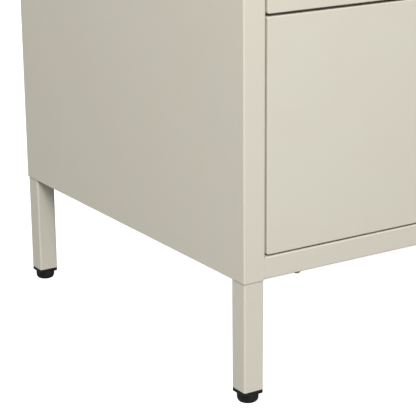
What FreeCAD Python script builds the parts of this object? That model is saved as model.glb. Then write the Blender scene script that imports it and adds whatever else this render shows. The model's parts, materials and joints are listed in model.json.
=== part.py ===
"""Two-drawer lateral filing cabinet in folded sheet steel, on four square-tube legs.

Millimetres. +X to the right seen from the front, +Y to the back, +Z up.
The origin is on the floor, at the centre of the cabinet's footprint.
"""
import FreeCAD, Part
import math
import os

from FreeCAD import Vector

os.makedirs("parts", exist_ok=True)

# ---- driving dimensions -------------------------------------------------------------------
WIDTH = 900.0             # over the side panels
DEPTH = 520.0             # front face to the back panel
SHEET = 1.0               # body sheet
BEND = 0.8                # inside bend radius of the body sheet
TUBE = 25.0               # leg tube, outside
TUBE_WALL = 1.5
TUBE_CORNER = 2.2
LEG_BELOW = 126.0         # tube seen below the body
LEG_IN_POST = 80.0        # tube plugged up inside the corner post
GLIDE_HEIGHT = 10.5       # round foot
CAP_HEIGHT = 4.5          # cap's rim under the tube
STEM_R = 4.0              # glide's stem in the cap
POST_PLAY = 0.1           # gap round the tube in its post
RAIL_HEIGHT = 26.0        # top of the bottom rail above the body's lower edge
RAIL_RAISE = 1.0          # the bottom rail's lower edge above the side panel's
FRONT_HEIGHT = 256.0      # drawer front
FRONT_DEPTH = 18.0        # drawer front's pan
FRONT_CORNER = 2.2
GAP_SIDE = 2.4
GAP_RAIL = 2.0
GAP_BETWEEN = 3.0
DRAWERS = ("lower", "upper")
TRAVEL = 420.0            # a drawer's full travel
HANDLE_REACH = 26.0
HANDLE_CENTRES = 160.0
SCREW_HEAD = 2.0          # back panel screw's head height

# ---- levels and planes worked out from them ---------------------------------------------
TUBE_BOTTOM = GLIDE_HEIGHT + CAP_HEIGHT
BODY = TUBE_BOTTOM + LEG_BELOW
OPENING = BODY + RAIL_HEIGHT
STACK = 2 * GAP_RAIL + len(DRAWERS) * FRONT_HEIGHT + GAP_BETWEEN
TOP = OPENING + STACK + RAIL_HEIGHT
FRONT = (HANDLE_REACH - DEPTH - SCREW_HEAD) / 2
BACK = FRONT + DEPTH
LEFT = -WIDTH / 2
POST = TUBE + 2 * SHEET + 2 * POST_PLAY
SIDE_BACK = BACK - SHEET  # outer face of the side panel's rear post
FLOOR_Z = BODY + RAIL_RAISE + SHEET + 0.05
FLOOR_SCREW_X = WIDTH / 2 - 75.0
FLOOR_SCREW_Y = FRONT + 9.0
FLOOR_SCREW_R = 2.0
FLOOR_SCREW_BORE = FLOOR_SCREW_R + 0.2

# ---- runners ------------------------------------------------------------------------------
RUNNER_SIDE = 32.6        # side panel's outer face to the runner's outer face
RUNNER_THICK = 12.7
RUNNER_START = 38.0       # behind the front face
RUNNER_LENGTH = 446.0
RUNNER_STEEL = 1.2
RUNNER_UP = 60.0          # runner's centre above the drawer front's lower edge
CHANNEL_HEIGHTS = (45.0, 37.0, 29.0)   # cabinet, middle and drawer members
SUPPORT_HEIGHT = 50.0

# ---- drawer tray --------------------------------------------------------------------------
TRAY_SHEET = 0.9
TRAY_UP = 5.0             # tray's underside above the drawer front's lower edge
TRAY_TOP = 240.0          # tray's rim above the drawer front's lower edge
TRAY_HEM = 9.0
TRAY_END = 480.0          # tray's back behind the front face
TRAY_HALF = WIDTH / 2 - RUNNER_SIDE - RUNNER_THICK
BEAD = 4.0                # radius of the beads pressed up in the tray's bottom
BEADS = 5
BEAD_END = 45.0           # from the floor's edge to the end of a bead
FILE_SPACING = 390.0      # foolscap hanging files
FILE_FIRST = 46.0         # first file rail behind the front face
FILE_BAR = (2.0, 16.0)    # thickness and height
FILE_LUG = 12.0           # reach of the bar's end lugs on the rim, away from the files

# ---- lock -----------------------------------------------------------------------------------
LOCK_X = WIDTH / 2 - 42.0
LOCK_Z = TOP - RAIL_HEIGHT / 2
BARREL_R = 9.0
PLUG_R = 6.5
PLUG_PLAY = 0.05
BAR_LIFT = 8.0
CAM_RADIUS = BAR_LIFT / math.sqrt(2)   # quarter turn, 45 degrees each side of level
BAR_X = WIDTH / 2 - 30.2               # lock bar's inner face
BAR_THICK = 2.0
BAR_FRONT = 18.6
BAR_BACK = 34.0
STUD_UP = 150.0
STUD_Y = 26.0
STUD_R = 3.0
SLOT_PLAY = 0.5


# ---- helpers --------------------------------------------------------------------------------
def box(x0, x1, y0, y1, z0, z1):
    return Part.makeBox(x1 - x0, y1 - y0, z1 - z0, Vector(x0, y0, z0))


def rod(radius, start, end):
    start, end = Vector(*start), Vector(*end)
    return Part.makeCylinder(radius, (end - start).Length, start, end - start)


def mirrored(shape):
    """The same piece on the other side of the cabinet."""
    return shape.mirror(Vector(0, 0, 0), Vector(1, 0, 0))


def fillet_where(shape, radius, test):
    """Rounds the straight edges whose two ends both pass the test."""
    chosen = []
    for edge in shape.Edges:
        ends = [v.Point for v in edge.Vertexes]
        if len(ends) == 2 and all(test(p) for p in ends):
            chosen.append(edge)
    return shape.makeFillet(radius, chosen) if chosen else shape


def outline(corners):
    """Closed wire in the XY plane through (x, y, radius) corners, the round ones as arcs."""
    entries, exits, middles = [], [], []
    count = len(corners)
    for i, (x, y, radius) in enumerate(corners):
        here = Vector(x, y, 0)
        before = (Vector(*corners[i - 1][:2], 0) - here).normalize()
        after = (Vector(*corners[(i + 1) % count][:2], 0) - here).normalize()
        half = before.getAngle(after) / 2
        reach = radius / math.tan(half)
        entries.append(here + before * reach)
        exits.append(here + after * reach)
        if radius:
            inward = (before + after).normalize()
            middles.append(here + inward * (radius / math.sin(half) - radius))
        else:
            middles.append(None)
    edges = []
    for i in range(count):
        if middles[i] is not None:
            edges.append(Part.Arc(entries[i], middles[i], exits[i]).toShape())
        following = entries[(i + 1) % count]
        if (following - exits[i]).Length > 1e-6:
            edges.append(Part.LineSegment(exits[i], following).toShape())
    return Part.Wire(edges)


def plate(corners, thickness):
    """Plate in the XY plane, extruded along +Z."""
    return Part.Face(outline(corners)).extrude(Vector(0, 0, thickness))


def folded(path, sheet, bend, length):
    """Folded strip: the path is one face of the sheet, which lies on the path's right."""
    points = [Vector(x, y, 0) for x, y in path]
    normals = []
    for a, b in zip(points, points[1:]):
        run = (b - a).normalize()
        normals.append(Vector(run.y, -run.x, 0))
    near, far = [], []
    for i, point in enumerate(points):
        if i in (0, len(points) - 1):
            offset = normals[0] if i == 0 else normals[-1]
            near.append((point.x, point.y, 0))
            moved = point + offset * sheet
            far.append((moved.x, moved.y, 0))
            continue
        first, second = normals[i - 1], normals[i]
        moved = point + (first + second) * (sheet / (1 + first.dot(second)))
        turns_right = first.cross(second).z < 0
        near.append((point.x, point.y, bend + sheet if turns_right else bend))
        far.append((moved.x, moved.y, bend if turns_right else bend + sheet))
    return plate(near + far[::-1], length)


def upright(shape, z):
    """Puts an XY section at height z."""
    return shape.translated(Vector(0, 0, z))


def crosswise(shape, x):
    """Turns a section drawn as (y, z) so that it runs along +X from x."""
    turned = shape.transformGeometry(
        FreeCAD.Matrix(0, 0, 1, x, 1, 0, 0, 0, 0, 1, 0, 0, 0, 0, 0, 1))
    return turned


def lengthwise(shape, y):
    """Turns a section drawn as (x, z) so that it runs along +Y from y."""
    turned = shape.transformGeometry(
        FreeCAD.Matrix(1, 0, 0, 0, 0, 0, 1, y, 0, 1, 0, 0, 0, 0, 0, 1))
    return turned


def depth(distance):
    """Y of a plane this far behind the front face."""
    return FRONT + distance


def front_bottom(drawer):
    """Lower edge of a drawer's front."""
    return OPENING + GAP_RAIL + DRAWERS.index(drawer) * (FRONT_HEIGHT + GAP_BETWEEN)


def write(name, *solids):
    shape = solids[0] if len(solids) == 1 else Part.makeCompound(list(solids))
    if not shape.isValid():
        raise ValueError(name + " isn't a valid shape")
    shape.exportStep("parts/" + name + ".step")
    print(name, round(shape.Volume / 1000, 2), "cm3")


def pan_screw(head_at, direction, head_r, head_h, shank_r, shank):
    """Pan-head screw: the head's underside is at head_at and the shank runs along direction."""
    start = Vector(*head_at)
    along = Vector(*direction)
    head = Part.makeCylinder(head_r, head_h, start, along * -1)
    rim = [e for e in head.Edges if (e.CenterOfMass - start).dot(along) < -head_h * 0.9]
    head = head.makeFillet(head_h * 0.6, rim)
    recess = Part.makeBox(head_r, 1.2, 1.2, Vector(-head_r / 2, -0.6, -0.6))
    cross = recess.fuse(Part.makeBox(1.2, head_r, 1.2, Vector(-0.6, -head_r / 2, -0.6)))
    turn = FreeCAD.Rotation(Vector(0, 0, -1), along)
    cross.Placement = FreeCAD.Placement(start - along * head_h, turn)
    body = head.fuse(Part.makeCylinder(shank_r, shank, start, along))
    return body.cut(cross).removeSplitter()


# ---- body -----------------------------------------------------------------------------------
def bolt_places():
    """Leg bolts as (x, y, z, direction along Y), all on the left of the cabinet."""
    x = LEFT + POST / 2
    for z in (BODY + 15, BODY + 45):
        yield x, depth(POST), z, -1
        yield x, SIDE_BACK - POST, z, 1


def back_screw_places():
    """Back panel screws: a column on each rear post, and three along the floor and the top."""
    for side in (-1, 1):
        for rise in (100, 240, 380, 540):
            yield side * (WIDTH / 2 - POST / 2), BODY + rise
        yield side * WIDTH / 4, BODY + 12
        yield side * WIDTH / 4, TOP - 9
    yield 0, BODY + 12
    yield 0, TOP - 9


def side_panel():
    """Left side: sheet wrapped round both corners into closed posts."""
    far = SIDE_BACK - FRONT
    lip = SHEET + 1
    path = [(lip, POST), (POST, POST), (POST, 0), (0, 0), (0, far),
            (POST, far), (POST, far - POST), (lip, far - POST)]
    path = [(LEFT + x, FRONT + y) for x, y in path]
    panel = upright(folded(path, SHEET, BEND, TOP - BODY), BODY)
    flange = box(LEFT + SHEET / 2, LEFT + 16, depth(POST + 2), SIDE_BACK - POST - 2,
                 BODY, BODY + SHEET)
    panel = panel.fuse(flange).removeSplitter()
    panel = fillet_where(panel, 0.6, lambda p: abs(p.x - LEFT) < 1e-4 and p.z < BODY + 1e-4)
    # room for the top panel on the posts
    seat = SHEET + 0.05
    panel = panel.cut(box(LEFT + seat, LEFT + 40, FRONT + seat, SIDE_BACK - seat,
                          TOP - 1.25, TOP + 1))
    # the stile's lower inner corner is rounded
    radius = 3.0
    edge = LEFT + POST
    corner = box(edge - radius, edge + 1, FRONT - 1, depth(POST + 1), BODY - 1, BODY + radius)
    corner = corner.cut(rod(radius, (edge - radius, FRONT - 2, BODY + radius),
                            (edge - radius, depth(POST + 2), BODY + radius)))
    panel = panel.cut(corner)
    for x, y, z, way in bolt_places():
        panel = panel.cut(rod(3.2, (x, y - way * 2, z), (x, y + way * 3, z)))
    for x, z in back_screw_places():
        if x < LEFT + POST:
            panel = panel.cut(rod(2.2, (x, SIDE_BACK - 3, z), (x, SIDE_BACK + 1, z)))
    return panel


def rail_span():
    return LEFT + POST + 0.15, -LEFT - POST - 0.15


def bottom_rail():
    x0, x1 = rail_span()
    low, high = BODY + RAIL_RAISE, OPENING
    path = [(depth(24), low), (FRONT, low), (FRONT, high), (depth(18), high)]
    rail = crosswise(folded(path, SHEET, BEND * 0.6, x1 - x0), x0)
    for side in (-1, 1):
        rail = rail.cut(rod(FLOOR_SCREW_BORE, (side * FLOOR_SCREW_X, FLOOR_SCREW_Y, low - 2),
                            (side * FLOOR_SCREW_X, FLOOR_SCREW_Y, low + 3)))
    return rail


def top_rail():
    x0, x1 = rail_span()
    path = [(FRONT, TOP), (FRONT, TOP - RAIL_HEIGHT), (depth(18), TOP - RAIL_HEIGHT)]
    path = path[::-1]
    rail = crosswise(folded(path, SHEET, BEND * 0.6, x1 - x0), x0)
    return rail.cut(rod(BARREL_R + 0.05, (LOCK_X, FRONT - 2, LOCK_Z),
                        (LOCK_X, FRONT + 4, LOCK_Z)))


def top_panel():
    """Top sheet dropped in between the side panels, with flanges between the posts."""
    inset = SHEET + 0.2
    thick = 1.2
    drop = 16.0
    x0, y0, y1 = LEFT + inset, FRONT + inset, SIDE_BACK - inset
    sheet = box(x0, -x0, y0, y1, TOP - thick, TOP)
    corners = [e for e in sheet.Edges if abs(e.Vertexes[0].Z - e.Vertexes[1].Z) > thick / 2]
    sheet = sheet.makeFillet(1.5, corners)
    walls = []
    wall_x = LEFT + POST + 2
    for y in (y0, y1 - thick):
        walls.append(box(wall_x, -wall_x, y, y + thick, TOP - drop, TOP - thick / 2))
    for x in (x0, -x0 - thick):
        walls.append(box(x, x + thick, depth(POST + 3), SIDE_BACK - POST - 3,
                         TOP - drop, TOP - thick / 2))
    panel = sheet.fuse(walls).removeSplitter()
    panel = panel.cut(rod(BARREL_R + 0.8, (LOCK_X, FRONT, LOCK_Z), (LOCK_X, FRONT + 4, LOCK_Z)))
    for x, z in back_screw_places():
        if z > TOP - drop:
            panel = panel.cut(rod(2.2, (x, y1 - 3, z), (x, y1 + 1, z)))
    return panel


def back_panel():
    edge = 1.6
    panel = box(LEFT + edge, -LEFT - edge, SIDE_BACK, BACK, BODY + 2, TOP - 1.5)
    upright_edges = [e for e in panel.Edges
                     if abs(e.Vertexes[0].Y - e.Vertexes[1].Y) > SHEET / 2]
    panel = panel.makeFillet(2.0, upright_edges)
    for x, z in back_screw_places():
        panel = panel.cut(rod(2.2, (x, SIDE_BACK - 1, z), (x, BACK + 1, z)))
    return panel


def floor_pan():
    """Dust floor under the lower drawer, notched round the posts, turned up at the back."""
    rise = 20.0
    notch = POST + 5
    x0, y0, y1 = LEFT + 1.4, FRONT + 1.4, SIDE_BACK - 0.2
    sheet = box(x0, -x0, y0, y1, FLOOR_Z, FLOOR_Z + SHEET)
    for side in (-1, 1):
        for y in (y0 - 1, SIDE_BACK - notch):
            cut_y = (y, depth(notch)) if y < 0 else (y, y1 + 1)
            near, far = sorted((side * (WIDTH / 2 - notch), side * WIDTH / 2))
            sheet = sheet.cut(box(near, far, *cut_y, FLOOR_Z - 1, FLOOR_Z + 3))
    back = box(LEFT + notch, -LEFT - notch, y1 - SHEET, y1, FLOOR_Z, FLOOR_Z + rise)
    pan = sheet.fuse(back).removeSplitter()
    for side in (-1, 1):
        pan = pan.cut(rod(FLOOR_SCREW_BORE, (side * FLOOR_SCREW_X, FLOOR_SCREW_Y, FLOOR_Z - 1),
                          (side * FLOOR_SCREW_X, FLOOR_SCREW_Y, FLOOR_Z + 2)))
    for x, z in back_screw_places():
        if z < FLOOR_Z + rise:
            pan = pan.cut(rod(2.2, (x, y1 - 3, z), (x, y1 + 1, z)))
    return pan


def runner_support():
    """Joggled strut from the front post to the rear post that carries a runner, left side."""
    outer = 24.0
    start, end = POST + 0.2, SIDE_BACK - FRONT - POST - 0.2
    joggle = 9.0
    path = [(6, start), (outer, start), (outer, start + joggle),
            (RUNNER_SIDE, start + joggle), (RUNNER_SIDE, end - joggle),
            (outer, end - joggle), (outer, end), (6, end)]
    path = [(LEFT + x, FRONT + y) for x, y in path[::-1]]
    return folded(path, SHEET, BEND, SUPPORT_HEIGHT)


# ---- legs and feet ------------------------------------------------------------------------
def square(cx, cy, side, corner, z0, z1):
    half = side / 2
    corners = [(cx - half, cy - half, corner), (cx + half, cy - half, corner),
               (cx + half, cy + half, corner), (cx - half, cy + half, corner)]
    return upright(plate(corners, z1 - z0), z0)


def leg_centres():
    inset = SHEET + POST_PLAY + TUBE / 2
    for row, y in (("front", FRONT + inset), ("rear", SIDE_BACK - inset)):
        for hand, x in (("left", LEFT + inset), ("right", -LEFT - inset)):
            yield row + "_" + hand, x, y


def leg(x, y):
    top = BODY + LEG_IN_POST
    tube = square(x, y, TUBE, TUBE_CORNER, TUBE_BOTTOM, top)
    inner = square(x, y, TUBE - 2 * TUBE_WALL, TUBE_CORNER - TUBE_WALL, TUBE_BOTTOM - 1, top + 1)
    tube = tube.cut(inner)
    for bx, by, bz, way in bolt_places():
        if by * y > 0:
            wall = by + way * 1.5
            tube = tube.cut(rod(3.2, (x, wall - 3, bz), (x, wall + 3, bz)))
    return tube


def leg_cap(x, y):
    """Moulded end cap: a rim flush with the tube, and a ribbed plug up inside it."""
    rim = square(x, y, TUBE, TUBE_CORNER, GLIDE_HEIGHT, TUBE_BOTTOM)
    rim = rim.makeFillet(0.5, [e for e in rim.Edges
                               if e.BoundBox.ZMax < GLIDE_HEIGHT + 1e-4])
    plug_side = TUBE - 2 * TUBE_WALL - 0.2
    plug = square(x, y, plug_side - 1.6, 0.6, TUBE_BOTTOM - 1, TUBE_BOTTOM + 20)
    cap = rim.fuse(plug)
    for level in (3, 8, 13):
        cap = cap.fuse(square(x, y, plug_side, 0.6, TUBE_BOTTOM + level,
                              TUBE_BOTTOM + level + 1.6))
    bore = rod(STEM_R + 0.05, (x, y, GLIDE_HEIGHT - 1), (x, y, GLIDE_HEIGHT + 17))
    return cap.removeSplitter().cut(bore)


def glide(x, y):
    """Round foot: straight rim, rounded in to its sole, on a stem pressed into the cap."""
    top_r, sole_r = 12.2, 7.7
    shoulder = 5.3
    stem_top = GLIDE_HEIGHT + 15
    side = Part.LineSegment(Vector(top_r, 0, GLIDE_HEIGHT), Vector(top_r - 0.25, 0, shoulder))
    bow = Part.Arc(Vector(top_r - 0.25, 0, shoulder), Vector(top_r - 1.5, 0, 1.55),
                   Vector(sole_r, 0, 0))
    rest = [Vector(sole_r, 0, 0), Vector(0, 0, 0), Vector(0, 0, stem_top),
            Vector(STEM_R, 0, stem_top), Vector(STEM_R, 0, GLIDE_HEIGHT),
            Vector(top_r, 0, GLIDE_HEIGHT)]
    edges = [side.toShape(), bow.toShape()]
    edges += [Part.LineSegment(a, b).toShape() for a, b in zip(rest, rest[1:])]
    profile = Part.Face(Part.Wire(edges))
    return profile.revolve(Vector(0, 0, 0), Vector(0, 0, 1), 360).translated(Vector(x, y, 0))


# ---- fasteners ----------------------------------------------------------------------------
def leg_bolts():
    bolts = []
    for x, y, z, way in bolt_places():
        for side in (1, -1):
            bolts.append(pan_screw((x * side, y, z), (0, way, 0), 5.5, 3.0, 3.0, 9.0))
    return bolts


def floor_screws():
    screws = []
    low = BODY + RAIL_RAISE
    for side in (-1, 1):
        x = side * FLOOR_SCREW_X
        washer = rod(5.0, (x, FLOOR_SCREW_Y, low - 0.8), (x, FLOOR_SCREW_Y, low))
        screw = pan_screw((x, FLOOR_SCREW_Y, low - 0.4), (0, 0, 1), 4.2, 3.6, FLOOR_SCREW_R, 12.0)
        screws.append(screw.fuse(washer).removeSplitter())
    return screws


def back_screws():
    return [pan_screw((x, BACK, z), (0, -1, 0), 4.2, SCREW_HEAD, 2.0, 4.0)
            for x, z in back_screw_places()]


# ---- runners ------------------------------------------------------------------------------
def channel(height, web_x, flange_x, z):
    """C-section member: a web at web_x with flanges towards flange_x, about height z."""
    half = height / 2
    path = [(flange_x, z + half), (web_x, z + half), (web_x, z - half), (flange_x, z - half)]
    if flange_x > web_x:
        path = path[::-1]
    section = folded(path, RUNNER_STEEL, 0.8, RUNNER_LENGTH)
    return lengthwise(section, depth(RUNNER_START))


def runner(drawer):
    """The three members of a left-hand runner."""
    z = front_bottom(drawer) + RUNNER_UP
    outer = LEFT + RUNNER_SIDE
    inner = outer + RUNNER_THICK
    cabinet, middle, moving = CHANNEL_HEIGHTS
    return {
        "runner_cabinet": channel(cabinet, outer, outer + 10.4, z),
        "runner_middle": channel(middle, outer + 2.2, outer + 10.4, z),
        "runner_drawer": channel(moving, inner, inner - 7.6, z),
    }


# ---- drawers --------------------------------------------------------------------------------
def handle_height(drawer):
    return front_bottom(drawer) + FRONT_HEIGHT - 40.0


def rounded_front(x, y0, y1, z0, z1, corner, edge):
    """Block with its four corners rounded as seen from the front, and a soft front edge."""
    corners = [(-x, z0, corner), (x, z0, corner), (x, z1, corner), (-x, z1, corner)]
    block = lengthwise(plate(corners, y1 - y0), y0)
    if edge:
        block = block.makeFillet(edge, [e for e in block.Edges
                                        if e.BoundBox.YMax < y0 + 1e-4])
    return block


def front_skin(drawer):
    z0 = front_bottom(drawer)
    z1 = z0 + FRONT_HEIGHT
    x = WIDTH / 2 - POST - GAP_SIDE
    skin = rounded_front(x, FRONT, depth(FRONT_DEPTH), z0, z1, FRONT_CORNER, 1.2)
    hollow = rounded_front(x - SHEET, FRONT + SHEET, depth(FRONT_DEPTH + 1),
                           z0 + SHEET, z1 - SHEET, FRONT_CORNER - SHEET, 0)
    skin = skin.cut(hollow)
    for hx in (-HANDLE_CENTRES / 2, HANDLE_CENTRES / 2):
        skin = skin.cut(rod(2.2, (hx, FRONT - 1, handle_height(drawer)),
                            (hx, FRONT + 3, handle_height(drawer))))
    return skin


def front_liner(drawer):
    """Tray-shaped sheet that closes the back of the front's pan."""
    play = SHEET + 0.2
    z0 = front_bottom(drawer) + play
    z1 = z0 + FRONT_HEIGHT - 2 * play
    x = WIDTH / 2 - POST - GAP_SIDE - play
    back = depth(FRONT_DEPTH - 0.2)
    liner = rounded_front(x, back - 8, back, z0, z1, 0.8, 0)
    liner = liner.cut(rounded_front(x - 0.8, back - 9, back - 0.8, z0 + 0.8, z1 - 0.8, 0.4, 0))
    for hx in (-HANDLE_CENTRES / 2, HANDLE_CENTRES / 2):
        liner = liner.cut(rod(2.2, (hx, back - 3, handle_height(drawer)),
                              (hx, back + 1, handle_height(drawer))))
    return liner


def tray(drawer):
    """Folded wall of the tray: a hemmed rim at the top, and a flange that carries the floor."""
    z0 = front_bottom(drawer) + TRAY_UP
    z1 = front_bottom(drawer) + TRAY_TOP
    y0, y1 = depth(FRONT_DEPTH), depth(TRAY_END)
    t = TRAY_SHEET
    block = box(-TRAY_HALF, TRAY_HALF, y0, y1, z0, z1)
    block = block.makeFillet(1.6, [e for e in block.Edges
                                   if e.BoundBox.ZMax < z0 + 1e-4 and e.BoundBox.YLength > 1])
    hollow = box(-TRAY_HALF + t, TRAY_HALF - t, y0 + t, y1 - t, z0 + t, z1 - t)
    inside = TRAY_HALF - TRAY_HEM
    mouth = box(-inside, inside, y0 + TRAY_HEM, y1 - TRAY_HEM, z0 - 1, z1 + 1)
    body = block.cut(hollow).cut(mouth)
    for hx in (-HANDLE_CENTRES / 2, HANDLE_CENTRES / 2):
        body = body.cut(rod(6.0, (hx, y0 - 1, handle_height(drawer)),
                            (hx, y0 + 3, handle_height(drawer))))
    return body.cut(rod(2.05, (TRAY_HALF - 3, depth(STUD_Y), z0 - TRAY_UP + STUD_UP),
                        (TRAY_HALF + 1, depth(STUD_Y), z0 - TRAY_UP + STUD_UP)))


def tray_floor(drawer):
    """Sheet welded down on the tray's flange, stiffened by beads pressed up in it."""
    t = TRAY_SHEET
    under = front_bottom(drawer) + TRAY_UP + t
    x1 = TRAY_HALF - t - 0.05
    y0, y1 = depth(FRONT_DEPTH) + t + 0.05, depth(TRAY_END) - t - 0.05
    sheet = box(-x1, x1, y0, y1, under, under + t)
    for i in range(BEADS):
        x = -TRAY_HALF + (i + 1) * 2 * TRAY_HALF / (BEADS + 1)
        bead = rod(BEAD, (x, y0 + BEAD_END, under), (x, y1 - BEAD_END, under))
        bead = bead.common(box(x - 9, x + 9, y0, y1, under, under + BEAD))
        groove = rod(BEAD - t, (x, y0 + BEAD_END + t, under), (x, y1 - BEAD_END - t, under))
        sheet = sheet.fuse(bead).cut(groove)
    return sheet.removeSplitter()


def handle(drawer):
    """Bow handle folded from one bar, with rounded outer corners."""
    z = handle_height(drawer)
    half, bar, tall = HANDLE_CENTRES / 2 + 5, 8.0, 12.0
    tip = FRONT - HANDLE_REACH
    corners = [(-half, FRONT, 0), (-half, tip, 9.0), (half, tip, 9.0), (half, FRONT, 0),
               (half - 10, FRONT, 0), (half - 10, tip + bar, 4.0),
               (-half + 10, tip + bar, 4.0), (-half + 10, FRONT, 0)]
    bow = upright(plate(corners, tall), z - tall / 2)
    soft = [e for e in bow.Edges if e.BoundBox.ZLength < 1e-4
            and e.BoundBox.YMin < FRONT - 0.5]
    bow = bow.makeFillet(1.2, soft)
    for hx in (-HANDLE_CENTRES / 2, HANDLE_CENTRES / 2):
        bow = bow.cut(rod(1.75, (hx, FRONT + 1, z), (hx, FRONT - 12, z)))
    return bow


def handle_screws(drawer):
    z = handle_height(drawer)
    seat = depth(FRONT_DEPTH - 0.2)
    return [pan_screw((hx, seat, z), (0, -1, 0), 4.5, 2.6, 1.75, seat - FRONT + 10)
            for hx in (-HANDLE_CENTRES / 2, HANDLE_CENTRES / 2)]


def file_rails(drawer):
    """Two bars across the tray that hanging files run on, each resting on the rim."""
    rim = front_bottom(drawer) + TRAY_TOP
    thick, tall = FILE_BAR
    half = TRAY_HALF - TRAY_HEM - 0.5
    bars = []
    for y, outwards in ((depth(FILE_FIRST), -1), (depth(FILE_FIRST + FILE_SPACING), 1)):
        bar = box(-half, half, y, y + thick, rim - tall + 6, rim + 6)
        middle = y + thick / 2
        y0, y1 = sorted((middle - outwards * thick / 2,
                         middle + outwards * (thick / 2 + FILE_LUG)))
        for side in (-1, 1):
            x0, x1 = sorted((side * (half - 1), side * (TRAY_HALF - 0.5)))
            bar = bar.fuse(box(x0, x1, y0, y1, rim, rim + 1.6))
        bars.append(bar.removeSplitter())
    return bars


# ---- lock -----------------------------------------------------------------------------------
def lock_barrel():
    barrel = rod(BARREL_R, (LOCK_X, FRONT, LOCK_Z), (LOCK_X, depth(20), LOCK_Z))
    collar = rod(BARREL_R + 1.6, (LOCK_X, FRONT - 1.6, LOCK_Z), (LOCK_X, FRONT, LOCK_Z))
    collar = collar.makeFillet(0.8, [e for e in collar.Edges if e.BoundBox.YMax < FRONT - 1])
    bore = rod(PLUG_R + PLUG_PLAY, (LOCK_X, FRONT - 3, LOCK_Z), (LOCK_X, depth(22), LOCK_Z))
    return barrel.fuse(collar).removeSplitter().cut(bore)


def lock_plug():
    face = FRONT - 1.3
    plug = rod(PLUG_R, (LOCK_X, face, LOCK_Z), (LOCK_X, depth(20.2), LOCK_Z))
    plug = plug.cut(box(LOCK_X - 0.6, LOCK_X + 0.6, face - 1, face + 14,
                        LOCK_Z - 4, LOCK_Z + 4))
    return plug.cut(rod(1.5, (LOCK_X, depth(16), LOCK_Z), (LOCK_X, depth(21), LOCK_Z)))


def lock_cam():
    """Arm on the back of the plug; its pin starts 45 degrees below level."""
    y0 = depth(20.2)
    side = CAM_RADIUS * math.sqrt(0.5)
    hub = rod(6.0, (LOCK_X, y0, LOCK_Z), (LOCK_X, y0 + 2, LOCK_Z))
    tip = rod(4.0, (LOCK_X + side, y0, LOCK_Z - side), (LOCK_X + side, y0 + 2, LOCK_Z - side))
    pin = rod(2.0, (LOCK_X + side, y0, LOCK_Z - side), (LOCK_X + side, y0 + 8, LOCK_Z - side))
    cam = hub.fuse([tip, pin]).removeSplitter()
    return cam.cut(rod(1.6, (LOCK_X, y0 - 1, LOCK_Z), (LOCK_X, y0 + 3, LOCK_Z)))


def lock_screw():
    return pan_screw((LOCK_X, depth(22.2), LOCK_Z), (0, -1, 0), 3.2, 2.0, 1.5, 6.0)


def rivet_heights():
    return (front_bottom("lower") + 200, front_bottom("upper") + 110, TOP - 60)


def lock_bar():
    """Gang bar inside the right stile; it lifts to hook both drawers' studs."""
    bottom = front_bottom("lower") + STUD_UP - 24
    top = LOCK_Z - BAR_LIFT / 2 + 6
    bar = box(BAR_X, BAR_X + BAR_THICK, depth(BAR_FRONT), depth(BAR_BACK), bottom, top)
    tab = box(LOCK_X - 1.6, BAR_X + 1, depth(25.2), depth(27.2), top - 12, top)
    bar = bar.fuse(tab).removeSplitter()
    reach = STUD_R + SLOT_PLAY
    for drawer in DRAWERS:
        z = front_bottom(drawer) + STUD_UP
        x0, x1 = BAR_X - 1, BAR_X + BAR_THICK + 1
        level = box(x0, x1, depth(BAR_FRONT - 1), depth(STUD_Y + reach), z - reach, z + reach)
        hook = box(x0, x1, depth(STUD_Y - reach), depth(STUD_Y + reach),
                   z - reach - BAR_LIFT, z + reach)
        bar = bar.cut(level).cut(hook)
    for z in rivet_heights():
        slot = box(BAR_X - 1, BAR_X + BAR_THICK + 1, depth(20), depth(26),
                   z - 3 - BAR_LIFT, z + 3)
        bar = bar.cut(slot)
    pin_z = LOCK_Z - BAR_LIFT / 2
    window = box(LOCK_X + CAM_RADIUS * 0.7 - 2.9, LOCK_X + CAM_RADIUS + 2.8,
                 depth(24), depth(28), pin_z - 2.5, pin_z + 2.5)
    return bar.cut(window)


def lock_rivets():
    """Shoulder rivets in the stile that the lock bar slides on."""
    wall = WIDTH / 2 - POST
    rivets = []
    for z in rivet_heights():
        y = depth(23)
        shank = rod(2.5, (BAR_X - 0.3, y, z), (wall + SHEET, y, z))
        head = rod(4.4, (BAR_X - 1.5, y, z), (BAR_X - 0.3, y, z))
        collar = rod(4.0, (BAR_X + BAR_THICK + 0.3, y, z), (wall, y, z))
        rivets.append(shank.fuse([head, collar]).removeSplitter())
    return rivets


def lock_stud(drawer):
    """Stud riveted through the tray's right wall."""
    y, z = depth(STUD_Y), front_bottom(drawer) + STUD_UP
    neck = rod(2.0, (TRAY_HALF - TRAY_SHEET - 1.2, y, z), (TRAY_HALF, y, z))
    body = rod(STUD_R, (TRAY_HALF, y, z), (WIDTH / 2 - POST - 0.6, y, z))
    head = rod(3.6, (TRAY_HALF - TRAY_SHEET - 1.2, y, z), (TRAY_HALF - TRAY_SHEET, y, z))
    return body.fuse([neck, head]).removeSplitter()


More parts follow.
